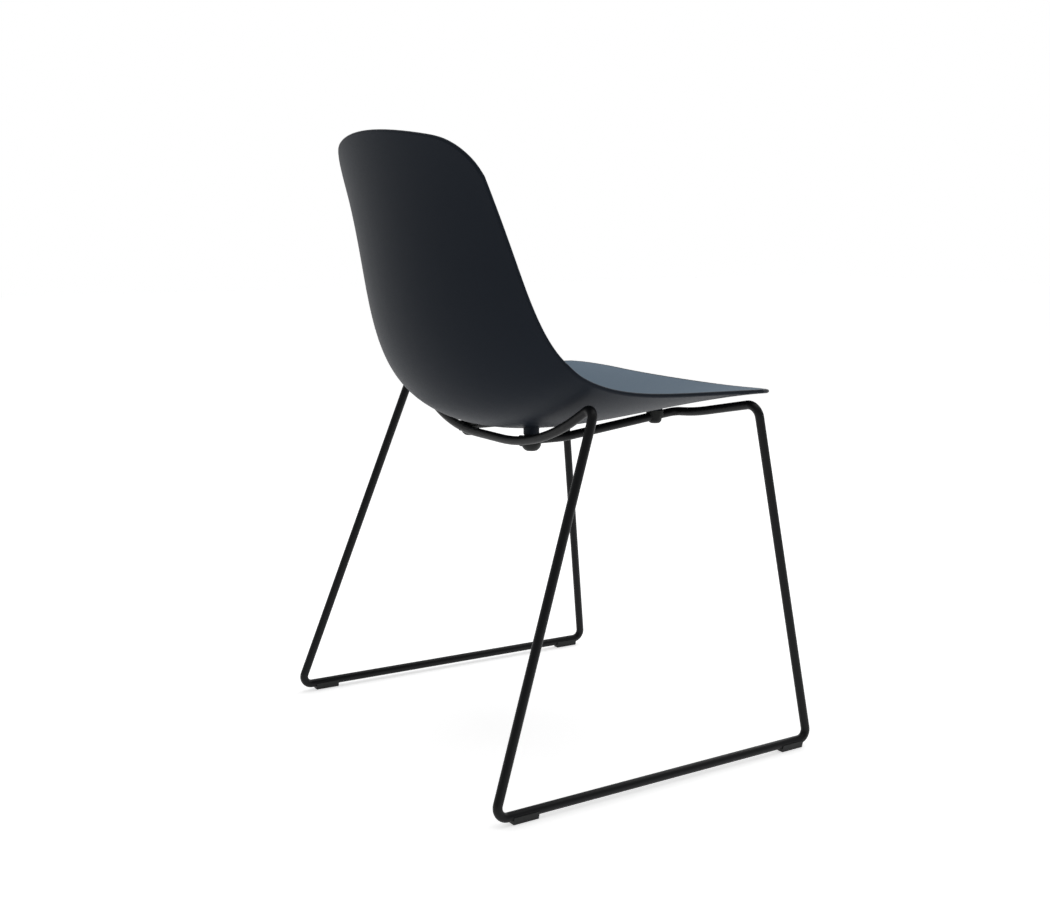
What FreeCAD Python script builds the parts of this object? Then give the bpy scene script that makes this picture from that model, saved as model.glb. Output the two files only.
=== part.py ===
import FreeCAD, Part
import math
import os

# A shell chair on a sled base: a moulded shell of two layers, held by four clamps on a frame of
# bent steel rod, which stands on two floor rails with plastic glides.
# Millimetres, +Z up. The chair faces -Y, so the sitter's left is +X.
# A size called forward is a distance toward the front from the rear corners of the floor rails.

Vector = FreeCAD.Vector

# Shell: guide points of its profile down the middle of the chair, from the front edge of the
# seat to the top of the back. Each has its forward distance, its height above the middle of the
# cross rod, the half width of the shell there, and how far the rim stands out from the middle.
profile_guides = (
    (494.0, 59.0, 227.0, 8.0),
    (373.0, 37.0, 234.0, 36.0),
    (262.0, 16.0, 240.0, 58.0),
    (166.0, 14.0, 242.0, 77.0),
    (92.0, 36.0, 238.0, 88.0),
    (48.0, 91.0, 228.0, 87.0),
    (24.0, 177.0, 215.0, 74.0),
    (12.0, 286.0, 199.0, 57.0),
    (-8.0, 401.0, 180.0, 34.0),
)
seat_roundness = 0.69
back_roundness = 1.16
corner_start = 0.735
front_corner_depth = 34.0
front_crown = 6.0
top_corner_depth = 40.0
top_crown = 29.0
facing_thickness = 2.2
backing_thickness = 3.3
facing_inset = 4.5
layer_gap = 0.2
profile_poles = 41
width_poles = 27

# Frame: one bent rod on each side, butt welded in the middle of the rear cross rod. A rise is a
# height above the middle of the cross rod, so the seat and the tops of the legs follow it.
rod_diameter = 12.0
cross_height = 419.0
cross_forward = 164.0
cross_bend_track = 252.0
rail_forward = 503.0
rear_track = 581.5
front_track = 555.5
rear_top_track = 484.0
rear_top_forward = 174.0
rear_top_rise = 69.0
front_top_track = 470.0
front_top_forward = 436.5
front_top_rise = 51.0
arm_track = 164.0
front_mid_track = 240.0
front_mid_forward = 422.5
front_mid_rise = 27.5
arm_bend_forward = 232.0
arm_bend_rise = 3.0
arm_front_forward = 418.0
arm_front_rise = 25.0
floor_bend_radius = 13.0
front_bend_radius = 17.0
rear_bend_radius = 14.0
cross_bend_radius = 330.0
front_mid_bend_radius = 330.0
arm_bend_radius = 200.0
arm_front_bend_radius = 13.0
middle_weld_width = 1.6
arm_weld_gap = 0.3
arm_weld_leg = 1.5
arm_weld_edge = 0.3

# Glides, pegged into the underside of the floor rails.
glide_length = 36.0
glide_wall = 1.2
glide_floor_width = 10.0
glide_sole = 4.0
glide_corner = 1.2
rear_glide_forward = 42.0
front_glide_setback = 31.0
peg_diameter = 4.0
peg_length = 6.0

# Clamps: a boss on the shell with a threaded insert, a saddle on the rod, a cap below it and a
# screw up through all of them. Cap depths are measured from the middle of the rod.
rear_clamp_forward = 181.0
front_clamp_forward = 383.0
boss_diameter = 21.0
boss_bite = 1.5
saddle_thickness = 2.0
rear_saddle_diameter = 19.5
front_saddle_diameter = 24.0
rear_cap_diameter = 26.0
rear_cap_bottom_diameter = 14.0
rear_cap_depth = 14.2
front_cap_diameter = 19.0
front_cap_bottom_diameter = 12.0
front_cap_depth = 10.0
cap_shoulder_depth = 5.0
cap_floor_thickness = 1.2
clamp_gap = 0.3
rod_clearance = 0.1
screw_diameter = 5.0
screw_head_diameter = 8.0
screw_head_height = 2.0
socket_width = 3.0
socket_depth = 1.2
washer_diameter = 9.0
washer_thickness = 0.8
insert_diameter = 7.0
insert_length = 5.0
insert_play = 1.0
hole_clearance = 0.6
press_clearance = 0.1

rod_radius = rod_diameter / 2
rail_height = glide_sole + rod_radius
shell_thickness = facing_thickness + backing_thickness
nose_radius = shell_thickness / 2


def place(x, forward, height):
    return Vector(x, -forward, height)


def guide_curve(points):
    curve = Part.BSplineCurve()
    curve.buildFromPoles(points, False, 3)
    return curve


profile_curve = guide_curve(
    [place(0.0, guide[0], cross_height + guide[1]) for guide in profile_guides]
)
section_curve = guide_curve([Vector(guide[2], guide[3], 0.0) for guide in profile_guides])
profile_length = profile_curve.length()


def half_width(travel):
    inside = min(max(travel, 0.0), profile_length)
    return section_curve.value(profile_curve.parameterAtDistance(inside)).x


def sitting_point(travel, x):
    """Point of the sitting surface at a travel along the profile and a distance x across."""
    inside = min(max(travel, 0.0), profile_length)
    parameter = profile_curve.parameterAtDistance(inside)
    along = profile_curve.tangent(parameter)[0]
    toward_sitter = Vector(0.0, -along.z, along.y)
    section = section_curve.value(parameter)
    share = x / section.x
    roundness = seat_roundness + (back_roundness - seat_roundness) * inside / profile_length
    rise = section.y * (roundness * share**2 + (1.0 - roundness) * share**4)
    middle = profile_curve.value(parameter) + along * (travel - inside)
    return middle + Vector(x, 0.0, 0.0) + toward_sitter * rise


def shell_point(travel, x, depth):
    """Point at a depth behind the sitting surface, square to it."""
    along = sitting_point(travel + 1.0, x) - sitting_point(travel - 1.0, x)
    across = sitting_point(travel, x + 1.0) - sitting_point(travel, x - 1.0)
    toward_sitter = across.cross(along).normalize()
    return sitting_point(travel, x) - toward_sitter * depth


def width_stations():
    """Share of the half width at each column, and how much the corner shortens the column."""
    straight = corner_start / (corner_start + (1.0 - corner_start) * math.pi / 2)
    stations = []
    for column in range(width_poles):
        position = 2.0 * column / (width_poles - 1) - 1.0
        turn = max(0.0, (abs(position) - straight) / (1.0 - straight)) * math.pi / 2
        share = corner_start * min(1.0, abs(position) / straight)
        share = share + (1.0 - corner_start) * math.sin(turn)
        stations.append((math.copysign(share, position), 1.0 - math.cos(turn)))
    return stations


def shell_grid(inset, depth):
    """Grid of poles of one shell surface, with its outline drawn in by the inset."""
    grid = []
    for row in range(profile_poles):
        points = []
        for share, shortening in width_stations():
            start = inset + front_crown * share**2 + front_corner_depth * shortening
            trimmed = inset + top_crown * share**2 + top_corner_depth * shortening
            end = profile_length - trimmed
            travel = start + (end - start) * row / (profile_poles - 1)
            points.append(shell_point(travel, share * (half_width(travel) - inset), depth))
        grid.append(points)
    return grid


def clamped_knots(poles, degree):
    spans = poles - degree
    multiplicities = [degree + 1] + [1] * (spans - 1) + [degree + 1]
    return multiplicities, [span / spans for span in range(spans + 1)]


def spline_face(grid):
    along_degree = min(3, len(grid) - 1)
    along_counts, along_knots = clamped_knots(len(grid), along_degree)
    across_counts, across_knots = clamped_knots(len(grid[0]), 3)
    surface = Part.BSplineSurface()
    surface.buildFromPolesMultsKnots(
        grid, along_counts, across_counts, along_knots, across_knots,
        False, False, along_degree, 3,
    )
    return surface.toShape()


def outline_rows(grid):
    return [grid[0], grid[-1], [row[0] for row in grid], [row[-1] for row in grid]]


def edge_strips(grids):
    """Faces that join the outlines of several grids, one face for each side of the shell."""
    return [spline_face(list(rows)) for rows in zip(*[outline_rows(grid) for grid in grids])]


def closed_solid(faces):
    skin = Part.Shell(faces)
    skin.sewShape()
    solid = Part.Solid(skin)
    if solid.Volume < 0:
        solid.reverse()
    return solid


nose_reach = nose_radius * 4.0 / 3.0
sitting_grid = shell_grid(facing_inset, 0.0)
facing_back_grid = shell_grid(facing_inset, facing_thickness)
recess_edge_grid = shell_grid(facing_inset - layer_gap, 0.0)
recess_floor_grid = shell_grid(facing_inset - layer_gap, facing_thickness + layer_gap)
land_grid = shell_grid(nose_radius, 0.0)
nose_front_grid = shell_grid(nose_radius - nose_reach, 0.0)
nose_back_grid = shell_grid(nose_radius - nose_reach, shell_thickness)
back_grid = shell_grid(nose_radius, shell_thickness)

inner_shell = closed_solid(
    [spline_face(sitting_grid), spline_face(facing_back_grid)]
    + edge_strips([sitting_grid, facing_back_grid])
)
outer_shell = closed_solid(
    [spline_face(recess_floor_grid), spline_face(back_grid)]
    + edge_strips([recess_floor_grid, recess_edge_grid])
    + edge_strips([recess_edge_grid, land_grid])
    + edge_strips([land_grid, nose_front_grid, nose_back_grid, back_grid])
)


def shell_spot(x, forward, depth):
    """Point of the shell at a depth, straight above a place on the floor."""
    near, far = 0.0, profile_length / 2
    while far - near > 0.001:
        middle = (near + far) / 2
        if shell_point(middle, x, depth).y < -forward:
            near = middle
        else:
            far = middle
    return shell_point(near, x, depth)


def rounded_path(corners):
    """Path through corner points, each rounded with its radius; the ends have none."""
    edges = []
    start = corners[0][0]
    for index in range(1, len(corners) - 1):
        corner, radius = corners[index]
        back = (corners[index - 1][0] - corner).normalize()
        ahead = (corners[index + 1][0] - corner).normalize()
        half_angle = back.getAngle(ahead) / 2
        reach = radius / math.tan(half_angle)
        first = corner + back * reach
        last = corner + ahead * reach
        inward = (back + ahead).normalize()
        crown = corner + inward * (radius / math.sin(half_angle) - radius)
        edges.append(Part.LineSegment(start, first).toShape())
        edges.append(Part.Arc(first, crown, last).toShape())
        start = last
    edges.append(Part.LineSegment(start, corners[-1][0]).toShape())
    return Part.Wire(edges)


def swept_rod(path, radius):
    first = path.Edges[0]
    start = first.valueAt(first.FirstParameter)
    circle = Part.Circle(start, first.tangentAt(first.FirstParameter), radius)
    return path.makePipeShell([Part.Wire(circle.toShape())], True, False)


def bar(start, end, radius):
    return Part.makeCylinder(radius, (end - start).Length, start, end - start)


def mirrored(shape):
    return shape.mirror(Vector(0, 0, 0), Vector(1, 0, 0))


def spot_on(path, x, forward):
    """Point of a path above a place on the floor."""
    upright = Part.LineSegment(place(x, forward, 0.0), place(x, forward, cross_height * 2))
    return path.distToShape(upright.toShape())[1][0][0]


front_mid = place(front_mid_track / 2, front_mid_forward, cross_height + front_mid_rise)
side_corners = [
    (place(arm_track / 2, arm_front_forward, cross_height + arm_front_rise), arm_front_bend_radius),
    (front_mid, front_mid_bend_radius),
    (place(front_top_track / 2, front_top_forward, cross_height + front_top_rise), front_bend_radius),
    (place(front_track / 2, rail_forward, rail_height), floor_bend_radius),
    (place(rear_track / 2, 0.0, rail_height), floor_bend_radius),
    (place(rear_top_track / 2, rear_top_forward, cross_height + rear_top_rise), rear_bend_radius),
    (place(cross_bend_track / 2, cross_forward, cross_height), cross_bend_radius),
    (place(middle_weld_width / 2, cross_forward, cross_height), 0.0),
]
joint = spot_on(rounded_path(side_corners[-4:]), arm_track / 2, cross_forward)
arm_start = joint - Vector(0, rod_radius + arm_weld_gap, 0)
arm_bend = place(arm_track / 2, arm_bend_forward, cross_height + arm_bend_rise)
rod_corners = [(arm_start, 0.0), (arm_bend, arm_bend_radius)] + side_corners
rod_path = rounded_path(rod_corners)
rod = swept_rod(rod_path, rod_radius)


def arm_weld_cone(clearance):
    """Fillet weld around the rear end of the arm, drawn solid through the rods."""
    length = rod_radius + arm_weld_gap + arm_weld_leg + clearance
    foot_radius = rod_radius + arm_weld_leg + clearance
    edge_radius = rod_radius + arm_weld_edge + clearance
    return Part.makeCone(foot_radius, edge_radius, length, joint, Vector(0, -1, 0))


arm_weld = arm_weld_cone(0.0).cut(rod)
rod_envelope = swept_rod(rod_path, rod_radius + rod_clearance).fuse(arm_weld_cone(rod_clearance))


def round_cap(top, bottom, shoulder, diameter, bottom_diameter):
    """Cap that is straight down to its shoulder and rounds in from there to its flat bottom."""
    radius, low_radius = diameter / 2, bottom_diameter / 2
    rim = top + Vector(radius, 0, 0)
    side = shoulder + Vector(radius, 0, 0)
    low = bottom + Vector(low_radius, 0, 0)
    bulge = side + Vector((low_radius - radius) * 0.25, 0, (bottom.z - shoulder.z) * 0.55)
    edges = [
        Part.LineSegment(top, rim),
        Part.LineSegment(rim, side),
        Part.Arc(side, bulge, low),
        Part.LineSegment(low, bottom),
        Part.LineSegment(bottom, top),
    ]
    half_section = Part.Face(Part.Wire([edge.toShape() for edge in edges]))
    return half_section.revolve(top, Vector(0, 0, 1), 360)


def hex_screw(seat, length):
    """Socket screw that points up, with the underside of its head at the seat."""
    head = bar(seat - Vector(0, 0, screw_head_height), seat, screw_head_diameter / 2)
    socket_radius = socket_width / math.sqrt(3.0)
    corners = [
        Vector(math.cos(math.pi * side / 3), math.sin(math.pi * side / 3), 0) * socket_radius
        for side in range(7)
    ]
    lowest = seat - Vector(0, 0, screw_head_height)
    socket = Part.Face(Part.makePolygon([lowest + corner for corner in corners]))
    socket = socket.extrude(Vector(0, 0, socket_depth))
    shank = bar(seat, seat + Vector(0, 0, length), screw_diameter / 2)
    return head.fuse(shank).removeSplitter().cut(socket)


def clamp(forward, saddle_diameter, cap_diameter, cap_bottom_diameter, cap_depth):
    """Pieces of one clamp on the left arm, and the holes that it needs in shell and rod."""
    x = arm_track / 2
    middle = spot_on(Part.Wire(rod_path.Edges[:3]), x, forward)
    axis = place(x, forward, 0.0)
    boss_bottom = middle + Vector(0, 0, rod_radius + saddle_thickness)

    spot = shell_spot(x, forward, shell_thickness - boss_bite)
    inside = shell_spot(x, forward, 0.0) - spot
    trim = bar(spot, spot + inside * boss_diameter, boss_diameter * 2)
    boss_top = Vector(x, spot.y, spot.z + boss_diameter)
    boss = bar(boss_bottom, boss_top, boss_diameter / 2).cut(trim)
    insert_top = boss_bottom + Vector(0, 0, insert_length)
    pocket = bar(boss_bottom, insert_top, insert_diameter / 2 + press_clearance / 2)
    insert = bar(boss_bottom, insert_top, insert_diameter / 2)
    insert = insert.cut(bar(boss_bottom, insert_top, screw_diameter / 2 + press_clearance / 2))

    hole = bar(axis, insert_top, (screw_diameter + hole_clearance) / 2)
    saddle_bottom = middle + Vector(0, 0, clamp_gap / 2)
    saddle = bar(saddle_bottom, boss_bottom, saddle_diameter / 2)
    saddle = saddle.cut(rod_envelope).cut(hole)

    cap_top = middle - Vector(0, 0, clamp_gap / 2)
    shoulder = middle - Vector(0, 0, cap_shoulder_depth)
    cap_bottom = middle - Vector(0, 0, cap_depth)
    washer_seat = middle - Vector(0, 0, rod_radius + cap_floor_thickness)
    recess = bar(axis, washer_seat, (washer_diameter + hole_clearance) / 2)
    cap = round_cap(cap_top, cap_bottom, shoulder, cap_diameter, cap_bottom_diameter)
    cap = cap.cut(rod_envelope).cut(hole).cut(recess)
    washer_bottom = washer_seat - Vector(0, 0, washer_thickness)
    washer = bar(washer_bottom, washer_seat, washer_diameter / 2)
    washer = washer.cut(bar(washer_bottom, washer_seat, (screw_diameter + hole_clearance) / 2))
    screw = hex_screw(washer_bottom, insert_top.z - insert_play - washer_bottom.z)
    return boss, pocket, hole, saddle, cap, screw, washer, insert


def glide(forward):
    """Glide on the left rail and the hole for its peg."""
    rear = place(rear_track / 2, 0.0, 0.0)
    front = place(front_track / 2, rail_forward, 0.0)
    share = forward / rail_forward
    middle = rear + (front - rear) * share
    turn = math.degrees(math.atan2((front_track - rear_track) / 2, rail_forward))
    rear_end = -glide_length / 2
    low_half = glide_floor_width / 2
    high_half = rod_radius + glide_wall
    section = [
        Vector(-low_half, rear_end, 0),
        Vector(low_half, rear_end, 0),
        Vector(high_half, rear_end, rail_height),
        Vector(-high_half, rear_end, rail_height),
    ]
    body = Part.Face(Part.makePolygon(section + section[:1])).extrude(Vector(0, glide_length, 0))
    sole_edges = [edge for edge in body.Edges if edge.BoundBox.ZMax < glide_sole / 2]
    body = body.makeFillet(glide_corner, sole_edges)
    peg_start = Vector(0, 0, glide_sole - 1.0)
    peg = bar(peg_start, Vector(0, 0, glide_sole + peg_length), peg_diameter / 2)
    hole_end = Vector(0, 0, glide_sole + peg_length + press_clearance)
    peg_hole = bar(peg_start, hole_end, (peg_diameter + press_clearance) / 2)
    long_rod = bar(
        Vector(0, -glide_length, rail_height), Vector(0, glide_length, rail_height),
        rod_radius + rod_clearance,
    )
    body = body.cut(long_rod).fuse(peg)
    for shape in (body, peg_hole):
        shape.rotate(Vector(0, 0, 0), Vector(0, 0, 1), turn)
        shape.translate(middle)
    return body, peg_hole


# Clamps, glides and welds of the left side; the right side is its mirror image.
rear_boss, rear_pocket, rear_hole, rear_saddle, rear_cap, rear_screw, rear_washer, rear_insert = clamp(
    rear_clamp_forward, rear_saddle_diameter, rear_cap_diameter, rear_cap_bottom_diameter,
    rear_cap_depth,
)
front_boss, front_pocket, front_hole, front_saddle, front_cap, front_screw, front_washer, front_insert = (
    clamp(
        front_clamp_forward, front_saddle_diameter, front_cap_diameter, front_cap_bottom_diameter,
        front_cap_depth,
    )
)
rear_glide, rear_peg_hole = glide(rear_glide_forward)
front_glide, front_peg_hole = glide(rail_forward - front_glide_setback)

rod_end = side_corners[-1][0]
middle_weld = bar(rod_end, rod_end - Vector(middle_weld_width, 0, 0), rod_radius)

for hole in (rear_hole, front_hole, rear_peg_hole, front_peg_hole):
    rod = rod.cut(hole)

for boss in (rear_boss, front_boss):
    outer_shell = outer_shell.fuse(boss).fuse(mirrored(boss))
for pocket in (rear_pocket, front_pocket):
    outer_shell = outer_shell.cut(pocket).cut(mirrored(pocket))


def both_sides(shapes):
    return Part.makeCompound(list(shapes) + [mirrored(shape) for shape in shapes])


pieces = {
    "outer_shell": outer_shell,
    "inner_shell": inner_shell,
    "left_rod": rod,
    "right_rod": mirrored(rod),
    "middle_weld": middle_weld,
    "left_arm_weld": arm_weld,
    "right_arm_weld": mirrored(arm_weld),
    "seat_screws": both_sides([rear_screw, front_screw]),
    "seat_washers": both_sides([rear_washer, front_washer]),
    "threaded_inserts": both_sides([rear_insert, front_insert]),
}
for name, shape in (
    ("rear_{}_saddle", rear_saddle),
    ("front_{}_saddle", front_saddle),
    ("rear_{}_cap", rear_cap),
    ("front_{}_cap", front_cap),
    ("rear_{}_glide", rear_glide),
    ("front_{}_glide", front_glide),
):
    pieces[name.format("left")] = shape
    pieces[name.format("right")] = mirrored(shape)

# The origin is the middle of the underside of the whole chair.
outline = Part.makeCompound(list(pieces.values())).optimalBoundingBox(False)
to_origin = Vector(-outline.Center.x, -outline.Center.y, -outline.ZMin)
os.makedirs("parts", exist_ok=True)
for name, shape in pieces.items():
    shape.translate(to_origin)
    shape.exportStep("parts/" + name + ".step")
    print(name, len(shape.Solids), shape.isValid(), round(shape.Volume), shape.BoundBox)
print("moved by", to_origin, "size", outline)
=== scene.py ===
import bpy
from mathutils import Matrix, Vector

bl_info = {
    "name": "Moulded shell chair",
    "version": (1, 0, 0),
    "blender": (4, 5, 0),
    "location": "View3D > Sidebar > Shell chair",
    "description": "Finishes and studio for a moulded plastic shell chair on a sled base",
    "category": "Object",
}

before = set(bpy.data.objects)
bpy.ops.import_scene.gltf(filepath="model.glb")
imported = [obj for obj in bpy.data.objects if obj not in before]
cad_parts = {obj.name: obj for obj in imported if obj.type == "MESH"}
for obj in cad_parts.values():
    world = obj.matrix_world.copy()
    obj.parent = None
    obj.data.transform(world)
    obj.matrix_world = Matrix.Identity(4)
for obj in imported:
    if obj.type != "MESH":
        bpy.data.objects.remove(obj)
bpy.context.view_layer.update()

# The chair has a clamp and a glide at each of these four places.
CORNERS = [end + "_" + side for end in ("rear", "front") for side in ("left", "right")]

MILLIMETRES_PER_METRE = 1000.0
WHITE = (1.0, 1.0, 1.0, 1.0)

# Refractive indices of the plastics and of the coat.
POLYPROPYLENE_IOR = 1.49
POWDER_COAT_IOR = 1.5
POLYETHYLENE_IOR = 1.51
NYLON_IOR = 1.53

# How the dye of a moulding drifts, in millimetres, and how far grain bends the light.
DYE_DRIFT_SIZE = 140.0
GRAIN_STRENGTH = 0.35

# How far the roughness of a surface moves below and above its middle value.
GRAIN_SHINE = 0.04
GRAIN_DULLNESS = 0.05
TURNING_SPREAD = 0.08
FACING_DRYNESS = 0.08

# Millimetres. The grain of a mould and the marks of a lathe are near 0.1 mm and too fine to
# show, so they are drawn coarser. The peel of the coat and the weld's ripples are near real.
SHELL_GRAIN_DEPTH = 0.05
COAT_PEEL_SIZE = 2.5
COAT_PEEL_DEPTH = 0.03
BEAD_RIPPLE_SIZE = 1.8
BEAD_RIPPLE_DEPTH = 0.5
NYLON_GRAIN_SIZE = 1.2
NYLON_GRAIN_DEPTH = 0.05
GLIDE_SCUFF_SIZE = 1.6
GLIDE_SCUFF_DEPTH = 0.08
TURNING_MARK_SIZE = 0.8

# The studio: metres for the floor and the view, millimetres for the sensor.
FLOOR_REACH = 12.0
FLOOR_ROUGHNESS = 0.9
VIEW_DEPTH = 100.0
SENSOR_WIDTH = 36.0

# The surround goes from its near level to its far level between minus and plus this much of
# the level part of the view direction.
SURROUND_BLEND = 0.8

# Each softbox has a name, a place and a width in metres, and a power in watts.
SOFTBOXES = (
    ("softbox_above", Vector((0.0, -0.4, 2.6)), 2.4, 18.0),
    ("softbox_front", Vector((1.2, -2.6, 1.6)), 1.6, 14.0),
)
CHAIR_MIDDLE = Vector((0.0, 0.0, 0.45))


def linear_colour(hex_code):
    """Linear RGBA of an sRGB colour written as six hex digits."""
    channels = []
    for start in (0, 2, 4):
        value = int(hex_code[start:start + 2], 16) / 255.0
        if value <= 0.04045:
            channels.append(value / 12.92)
        else:
            channels.append(((value + 0.055) / 1.055) ** 2.4)
    return (*channels, 1.0)


def add_node(owner, kind, inputs=None, **settings):
    """Adds a node to a material or world, sets it up, and fills or links its inputs."""
    tree = owner.node_tree
    node = tree.nodes.new(kind)
    for name, value in settings.items():
        setattr(node, name, value)
    for name, value in (inputs or {}).items():
        if isinstance(value, bpy.types.NodeSocket):
            tree.links.new(value, node.inputs[name])
        else:
            node.inputs[name].default_value = value
    return node


def start_material(name):
    """A fresh node material, and its surface and output nodes."""
    material = bpy.data.materials.new(name)
    material.use_nodes = True
    material.node_tree.nodes.clear()
    surface = add_node(material, "ShaderNodeBsdfPrincipled")
    add_node(material, "ShaderNodeOutputMaterial", {"Surface": surface.outputs["BSDF"]})
    return material, surface


def size_to_scale(millimetres):
    """Noise scale in object space whose features are about this size."""
    return MILLIMETRES_PER_METRE / millimetres


def grained_plastic(name, tint, shade, roughness, grain_size, grain_depth, ior, sheen):
    """Dyed plastic or baked coat, with a fine grain that breaks up its sheen."""
    material, surface = start_material(name)
    links = material.node_tree.links
    place = add_node(material, "ShaderNodeTexCoord").outputs["Object"]
    drift = add_node(
        material, "ShaderNodeTexNoise",
        {"Vector": place, "Scale": size_to_scale(DYE_DRIFT_SIZE), "Detail": 2.0, "Roughness": 0.4},
    ).outputs["Fac"]
    grain = add_node(
        material, "ShaderNodeTexNoise",
        {"Vector": place, "Scale": size_to_scale(grain_size), "Detail": 3.0, "Roughness": 0.6},
    ).outputs["Fac"]
    colour = add_node(
        material, "ShaderNodeMix",
        {"Factor": drift, "A": linear_colour(tint), "B": linear_colour(shade)},
        data_type="RGBA",
    )
    links.new(colour.outputs["Result"], surface.inputs["Base Color"])
    gloss = add_node(
        material, "ShaderNodeMapRange",
        {"Value": grain, "From Min": 0.3, "From Max": 0.7,
         "To Min": roughness - GRAIN_SHINE, "To Max": roughness + GRAIN_DULLNESS},
    )
    links.new(gloss.outputs["Result"], surface.inputs["Roughness"])
    relief = add_node(
        material, "ShaderNodeBump",
        {"Height": grain, "Strength": GRAIN_STRENGTH, "Distance": grain_depth / MILLIMETRES_PER_METRE},
    )
    links.new(relief.outputs["Normal"], surface.inputs["Normal"])
    surface.inputs["IOR"].default_value = ior
    surface.inputs["Specular IOR Level"].default_value = sheen
    return material


def turned_metal(name, tint, roughness):
    """Bare or plated metal with the marks of the lathe in its sheen."""
    material, surface = start_material(name)
    place = add_node(material, "ShaderNodeTexCoord").outputs["Object"]
    marks = add_node(
        material, "ShaderNodeTexNoise",
        {"Vector": place, "Scale": size_to_scale(TURNING_MARK_SIZE), "Detail": 2.0},
    ).outputs["Fac"]
    gloss = add_node(
        material, "ShaderNodeMapRange",
        {"Value": marks, "To Min": roughness - TURNING_SPREAD, "To Max": roughness + TURNING_SPREAD},
    )
    material.node_tree.links.new(gloss.outputs["Result"], surface.inputs["Roughness"])
    surface.inputs["Base Color"].default_value = linear_colour(tint)
    surface.inputs["Metallic"].default_value = 1.0
    return material


def finish_nodes(names, material):
    """Gives CAD nodes one material over their whole surface."""
    for name in names:
        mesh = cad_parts[name].data
        mesh.materials.clear()
        mesh.materials.append(material)


class ShellSettings(bpy.types.PropertyGroup):
    backing_hex: bpy.props.StringProperty(
        name="Backing colour", description="Dark outer layer of the shell, sRGB hex", default="20262f"
    )
    facing_hex: bpy.props.StringProperty(
        name="Facing colour", description="Blue-grey sitting layer, sRGB hex", default="5a6d7e"
    )
    grain: bpy.props.FloatProperty(
        name="Mould grain", description="Size of the mould's grain in millimetres", default=1.4, min=0.2
    )
    roughness: bpy.props.FloatProperty(
        name="Roughness", description="Roughness of the moulded surface", default=0.5, min=0.0, max=1.0
    )


class FrameSettings(bpy.types.PropertyGroup):
    coat_hex: bpy.props.StringProperty(
        name="Powder coat", description="Colour of the coated rod, sRGB hex", default="131416"
    )
    roughness: bpy.props.FloatProperty(
        name="Roughness", description="Roughness of the powder coat", default=0.42, min=0.0, max=1.0
    )


class StudioSettings(bpy.types.PropertyGroup):
    camera_place: bpy.props.FloatVectorProperty(
        name="Camera place", description="Where the camera stands", size=3, subtype="TRANSLATION",
        unit="LENGTH", default=(-1.6627, 1.0488, 0.7115),
    )
    camera_view: bpy.props.FloatVectorProperty(
        name="Camera view", description="Direction that the camera looks in", size=3,
        subtype="DIRECTION", default=(0.8398, -0.5169, -0.1658),
    )
    lens: bpy.props.FloatProperty(
        name="Lens", description="Focal length on a 36 mm wide sensor", default=48.96, unit="CAMERA"
    )
    floor_hex: bpy.props.StringProperty(
        name="Floor colour", description="Studio floor, sRGB hex", default="f2f2f2"
    )
    floor_glow: bpy.props.FloatProperty(
        name="Floor white", description="White added to the floor as the camera sees it", default=0.57,
        min=0.0,
    )
    far_level: bpy.props.FloatProperty(
        name="Far light", description="Surround light from beyond the chair", default=0.7, min=0.0
    )
    near_level: bpy.props.FloatProperty(
        name="Near light", description="Surround light from the camera's side", default=0.28, min=0.0
    )


class CHAIR_OT_shell(bpy.types.Operator):
    """Dyes the two layers of the moulded shell"""

    bl_idname = "chair.shell"
    bl_label = "Shell finishes"

    def execute(self, context):
        settings = context.scene.chair_shell
        # Polypropylene, injection moulded and dyed through. The grain of the mould makes it
        # satin: no sharp reflection, only a soft sheen that turns pale at the edges.
        backing = grained_plastic(
            "Polypropylene anthracite moulded", settings.backing_hex, "1c222b",
            roughness=settings.roughness, grain_size=settings.grain,
            grain_depth=SHELL_GRAIN_DEPTH, ior=POLYPROPYLENE_IOR, sheen=0.11,
        )
        # The same plastic in blue grey, a little drier, as the sitting side has more grain.
        facing = grained_plastic(
            "Polypropylene blue grey moulded", settings.facing_hex, "566979",
            roughness=settings.roughness + FACING_DRYNESS, grain_size=settings.grain,
            grain_depth=SHELL_GRAIN_DEPTH, ior=POLYPROPYLENE_IOR, sheen=0.2,
        )
        finish_nodes(["outer_shell"], backing)
        finish_nodes(["inner_shell"], facing)
        return {"FINISHED"}


class CHAIR_OT_sled(bpy.types.Operator):
    """Powder coats the bent rods and their welds"""

    bl_idname = "chair.sled"
    bl_label = "Sled base finish"

    def execute(self, context):
        settings = context.scene.chair_frame
        # Steel rod with a baked epoxy powder coat. The powder melts to a thick satin skin with
        # a shallow orange peel, so highlights along the rod are long, soft and a little uneven.
        coat = grained_plastic(
            "Steel powder coated black", settings.coat_hex, "101113",
            roughness=settings.roughness, grain_size=COAT_PEEL_SIZE,
            grain_depth=COAT_PEEL_DEPTH, ior=POWDER_COAT_IOR, sheen=0.2,
        )
        finish_nodes(["left_rod", "right_rod"], coat)
        # The same coat over a weld bead: its ripples show through as deeper relief.
        bead = grained_plastic(
            "Steel weld bead powder coated", settings.coat_hex, "101113",
            roughness=settings.roughness, grain_size=BEAD_RIPPLE_SIZE,
            grain_depth=BEAD_RIPPLE_DEPTH, ior=POWDER_COAT_IOR, sheen=0.2,
        )
        finish_nodes(["middle_weld", "left_arm_weld", "right_arm_weld"], bead)
        return {"FINISHED"}


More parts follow.
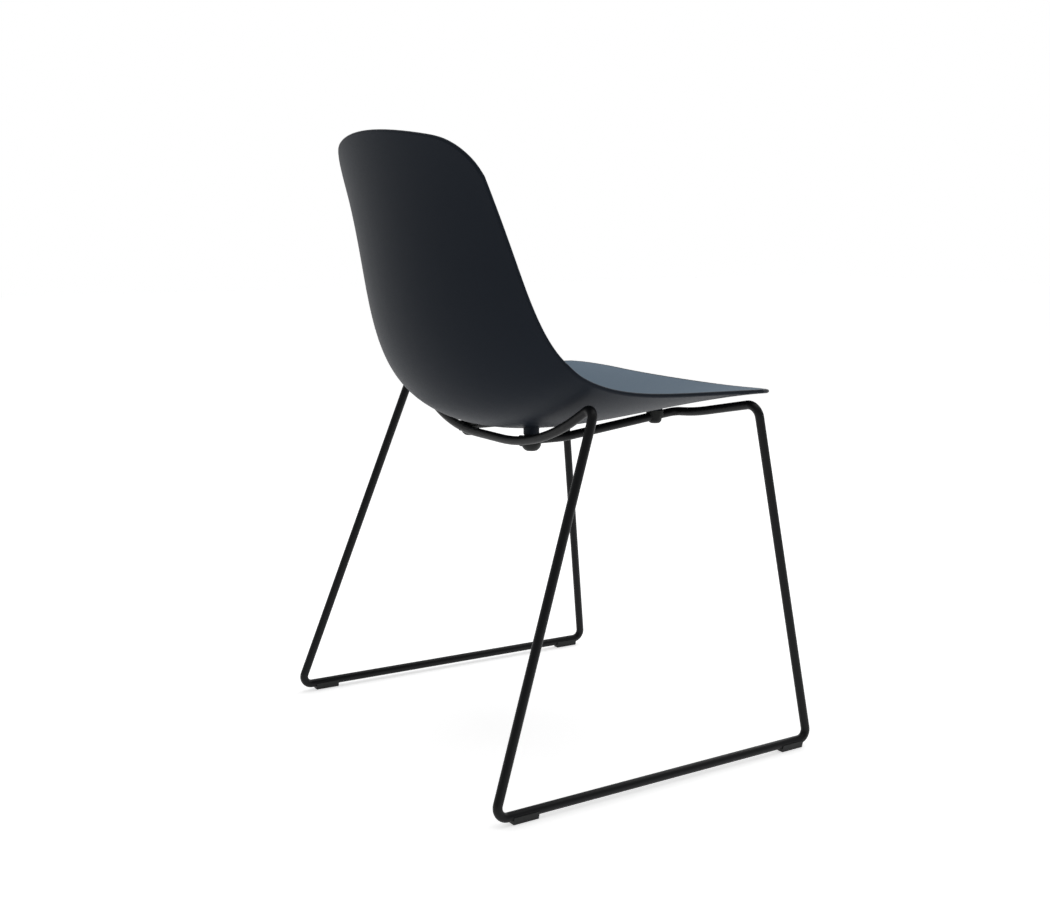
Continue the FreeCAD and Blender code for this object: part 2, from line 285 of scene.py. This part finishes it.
class CHAIR_OT_clamps(bpy.types.Operator):
    """Finishes saddles, caps and glides"""

    bl_idname = "chair.clamps"
    bl_label = "Clamps and glides"

    def execute(self, context):
        # Glass-filled nylon, moulded: black with a green cast, and a little drier than the shell.
        nylon = grained_plastic(
            "Nylon glass filled moulded", "111413", "0e1110",
            roughness=0.55, grain_size=NYLON_GRAIN_SIZE,
            grain_depth=NYLON_GRAIN_DEPTH, ior=NYLON_IOR, sheen=0.3,
        )
        finish_nodes([corner + "_saddle" for corner in CORNERS], nylon)
        finish_nodes([corner + "_cap" for corner in CORNERS], nylon)
        # Polyethylene, moulded: waxy and soft in its sheen, and scuffed dull by the floor.
        soft = grained_plastic(
            "Polyethylene black moulded", "141616", "1a1c1c",
            roughness=0.6, grain_size=GLIDE_SCUFF_SIZE,
            grain_depth=GLIDE_SCUFF_DEPTH, ior=POLYETHYLENE_IOR, sheen=0.35,
        )
        finish_nodes([corner + "_glide" for corner in CORNERS], soft)
        return {"FINISHED"}


class CHAIR_OT_fasteners(bpy.types.Operator):
    """Finishes screws, washers and inserts"""

    bl_idname = "chair.fasteners"
    bl_label = "Fasteners"

    def execute(self, context):
        # Steel, black zinc plated: a thin dark film that keeps some metal shine.
        plated = turned_metal("Steel black zinc plated", "3a3b3e", roughness=0.35)
        finish_nodes(["seat_screws", "seat_washers"], plated)
        # Brass, turned from bar and left bare: warm yellow, with a clear shine.
        finish_nodes(["threaded_inserts"], turned_metal("Brass turned", "b08d4a", roughness=0.3))
        return {"FINISHED"}


class CHAIR_OT_studio(bpy.types.Operator):
    """Sets the floor, the light and the camera of the photograph"""

    bl_idname = "chair.studio"
    bl_label = "Studio"

    def execute(self, context):
        settings = context.scene.chair_studio
        scene = context.scene
        self.lay_floor(scene, settings)
        self.light_world(scene, settings)
        self.hang_softboxes(scene)
        self.stand_camera(scene, settings)
        scene.view_settings.view_transform = "Standard"
        return {"FINISHED"}

    def lay_floor(self, scene, settings):
        mesh = bpy.data.meshes.new("studio_floor")
        signs = ((-1.0, -1.0), (1.0, -1.0), (1.0, 1.0), (-1.0, 1.0))
        corners = [(x * FLOOR_REACH, y * FLOOR_REACH, 0.0) for x, y in signs]
        mesh.from_pydata(corners, [], [(0, 1, 2, 3)])
        floor = bpy.data.objects.new("studio_floor", mesh)
        scene.collection.objects.link(floor)
        # Painted board, rolled matt: an even white that shows only the chair's soft shadow. Its
        # glow is only for the camera and for reflections, so it doesn't light the chair.
        material, surface = start_material("Painted board matt white")
        surface.inputs["Base Color"].default_value = linear_colour(settings.floor_hex)
        surface.inputs["Roughness"].default_value = FLOOR_ROUGHNESS
        surface.inputs["Specular IOR Level"].default_value = 0.0
        rays = add_node(material, "ShaderNodeLightPath")
        seen = add_node(
            material, "ShaderNodeMath",
            {0: rays.outputs["Is Camera Ray"], 1: rays.outputs["Is Glossy Ray"]}, operation="MAXIMUM",
        )
        glow = add_node(
            material, "ShaderNodeMath", {0: seen.outputs[0], 1: settings.floor_glow},
            operation="MULTIPLY",
        )
        surface.inputs["Emission Color"].default_value = WHITE
        material.node_tree.links.new(glow.outputs[0], surface.inputs["Emission Strength"])
        mesh.materials.append(material)

    def light_world(self, scene, settings):
        world = bpy.data.worlds.new("studio_surround")
        world.use_nodes = True
        world.node_tree.nodes.clear()
        rays = add_node(world, "ShaderNodeLightPath")
        seen = add_node(
            world, "ShaderNodeMath",
            {0: rays.outputs["Is Camera Ray"], 1: rays.outputs["Is Transmission Ray"]},
            operation="MAXIMUM",
        )
        # The white wall beyond the chair gives most of the light, and the room behind the
        # camera little, so the back of the shell stays dark and its far edges turn pale.
        direction = add_node(world, "ShaderNodeTexCoord").outputs["Generated"]
        view = Vector(settings.camera_view)
        facing = add_node(
            world, "ShaderNodeVectorMath", {0: direction, 1: (view.x, view.y, 0.0)},
            operation="DOT_PRODUCT",
        )
        level = add_node(
            world, "ShaderNodeMapRange",
            {"Value": facing.outputs["Value"],
             "From Min": -SURROUND_BLEND, "From Max": SURROUND_BLEND,
             "To Min": settings.near_level, "To Max": settings.far_level},
            interpolation_type="SMOOTHSTEP",
        )
        strength = add_node(
            world, "ShaderNodeMapRange",
            {"Value": seen.outputs[0], "To Min": level.outputs["Result"], "To Max": 1.0},
        )
        back = add_node(
            world, "ShaderNodeBackground",
            {"Color": WHITE, "Strength": strength.outputs["Result"]},
        )
        add_node(world, "ShaderNodeOutputWorld", {"Surface": back.outputs["Background"]})
        scene.world = world

    def hang_softboxes(self, scene):
        for name, place, width, power in SOFTBOXES:
            light = bpy.data.lights.new(name, "AREA")
            light.shape = "SQUARE"
            light.size = width
            light.energy = power
            lamp = bpy.data.objects.new(name, light)
            lamp.location = place
            lamp.rotation_euler = (CHAIR_MIDDLE - place).to_track_quat("-Z", "Y").to_euler()
            scene.collection.objects.link(lamp)

    def stand_camera(self, scene, settings):
        lens = bpy.data.cameras.new("camera")
        lens.sensor_width = SENSOR_WIDTH
        lens.lens = settings.lens
        lens.clip_end = VIEW_DEPTH
        camera = bpy.data.objects.new("camera", lens)
        camera.location = settings.camera_place
        view = Vector(settings.camera_view)
        camera.rotation_euler = view.to_track_quat("-Z", "Y").to_euler()
        scene.collection.objects.link(camera)
        scene.camera = camera


OPERATORS = (CHAIR_OT_shell, CHAIR_OT_sled, CHAIR_OT_clamps, CHAIR_OT_fasteners, CHAIR_OT_studio)


class CHAIR_PT_panel(bpy.types.Panel):
    """Lists the steps that finish the chair"""

    bl_idname = "CHAIR_PT_panel"
    bl_label = "Shell chair"
    bl_space_type = "VIEW_3D"
    bl_region_type = "UI"
    bl_category = "Shell chair"

    def draw(self, context):
        for operator in OPERATORS:
            self.layout.operator(operator.bl_idname)


SETTINGS = (
    ("chair_shell", ShellSettings),
    ("chair_frame", FrameSettings),
    ("chair_studio", StudioSettings),
)


def register():
    for name, group in SETTINGS:
        bpy.utils.register_class(group)
        setattr(bpy.types.Scene, name, bpy.props.PointerProperty(type=group))
    for operator in OPERATORS:
        bpy.utils.register_class(operator)
    bpy.utils.register_class(CHAIR_PT_panel)


def unregister():
    bpy.utils.unregister_class(CHAIR_PT_panel)
    for operator in reversed(OPERATORS):
        bpy.utils.unregister_class(operator)
    for name, group in reversed(SETTINGS):
        delattr(bpy.types.Scene, name)
        bpy.utils.unregister_class(group)


def main():
    register()
    bpy.ops.chair.shell()
    bpy.ops.chair.sled()
    bpy.ops.chair.clamps()
    bpy.ops.chair.fasteners()
    bpy.ops.chair.studio()


if __name__ == "__main__":
    main()
